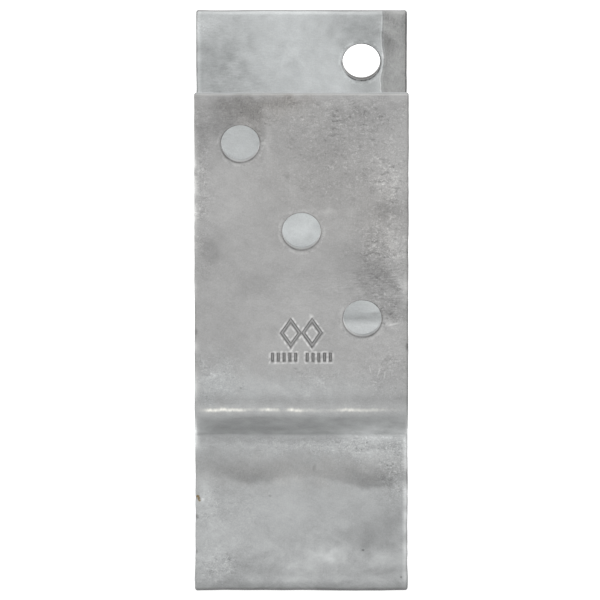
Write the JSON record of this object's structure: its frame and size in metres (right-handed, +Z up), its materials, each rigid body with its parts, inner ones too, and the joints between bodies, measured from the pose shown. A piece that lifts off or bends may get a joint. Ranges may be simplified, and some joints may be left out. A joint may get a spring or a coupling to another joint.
{
  "type": "post anchor",
  "caption": "U-shaped galvanised steel strap anchor that clasps the foot of a timber post between drilled legs and is set in concrete by its narrower stem.",
  "frame": {"origin": "middle of the underside of the bottom web", "axes": "+Z up; X across the strap's width; Y across the gap, with the marked front leg at -Y and the rear leg at +Y"},
  "size_m": [0.07, 0.098, 0.1785],
  "materials": {
    "galvanised_steel": "hot-dip galvanised, dull, faintly clouded grey"
  },
  "bodies": {
    "root": {"front_leg": "galvanised_steel", "rear_leg": "galvanised_steel", "front_shoulder": "galvanised_steel", "rear_shoulder": "galvanised_steel", "front_shank": "galvanised_steel", "rear_shank": "galvanised_steel", "base_web": "galvanised_steel"}
  },
  "joints": []
}
